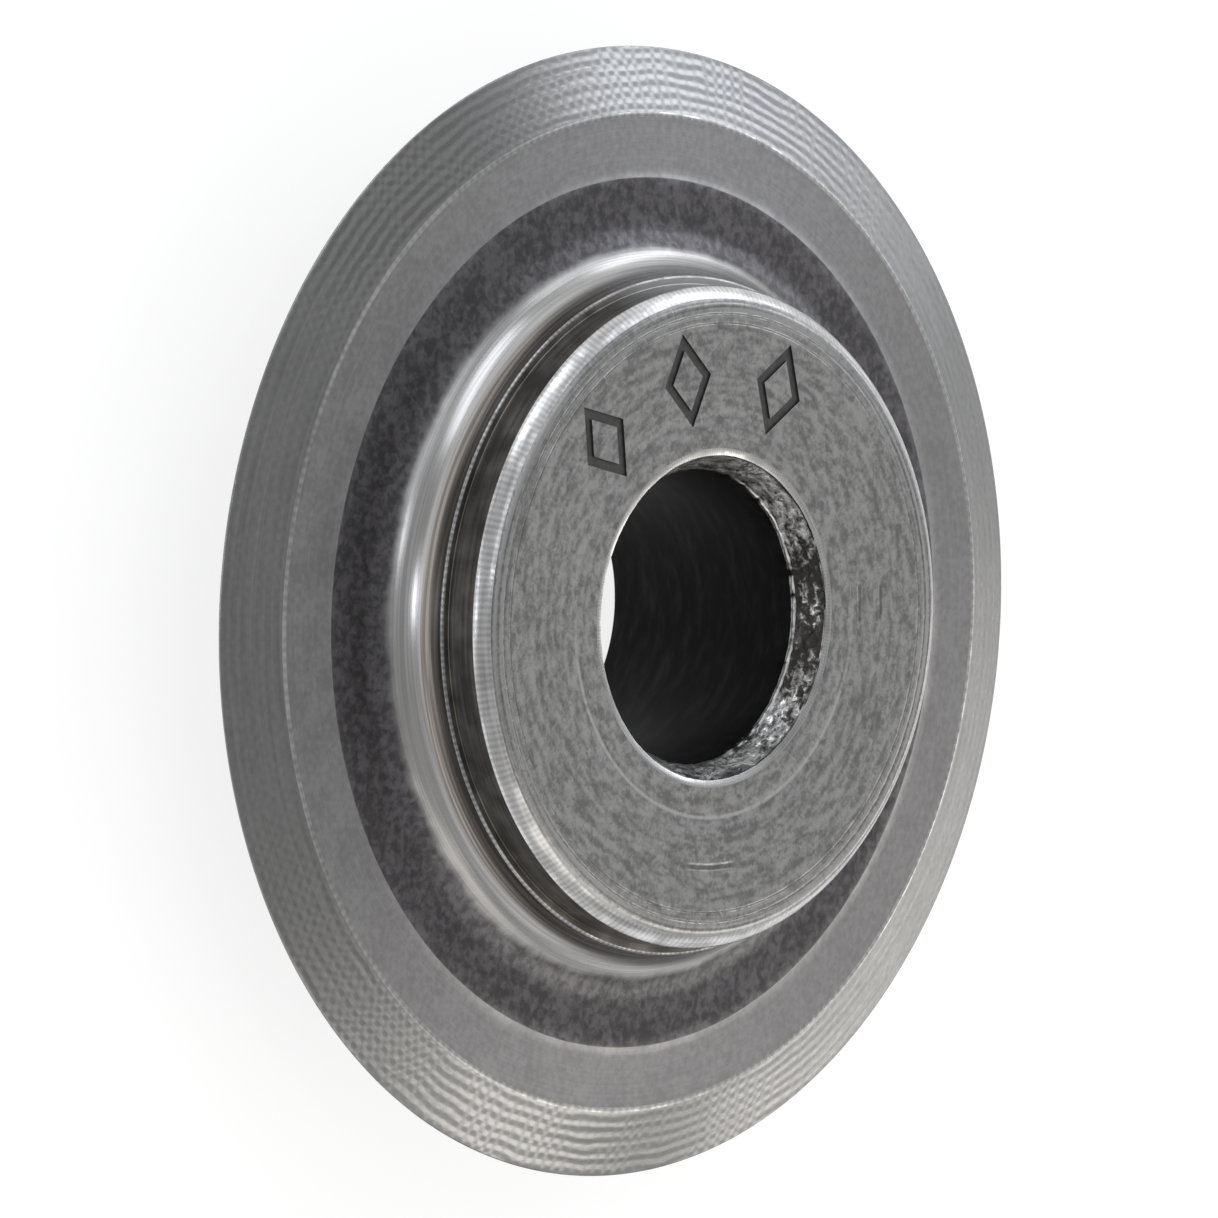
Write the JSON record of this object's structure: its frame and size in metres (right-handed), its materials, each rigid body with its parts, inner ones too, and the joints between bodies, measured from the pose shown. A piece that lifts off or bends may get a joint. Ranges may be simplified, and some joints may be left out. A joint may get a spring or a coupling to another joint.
{
  "type": "pipe cutter wheel",
  "caption": "Steel cutting wheel for a pipe cutter: a thin disc with a bevelled knife edge on a broad hub, bored through to run on the tool's pin.",
  "frame": {"origin": "centre of the wheel, on its axis and in the plane of the cutting edge", "axes": "+Z along the wheel's axis, out of the end face with the wide countersink; X and Y across the disc"},
  "size_m": [0.032, 0.032, 0.0082],
  "materials": {
    "tool_steel": "satin grey: ground bevels and face, dark scale band round the hub, turned hub with rough end faces"
  },
  "bodies": {
    "root": {"cutter_wheel": "tool_steel"}
  },
  "joints": []
}
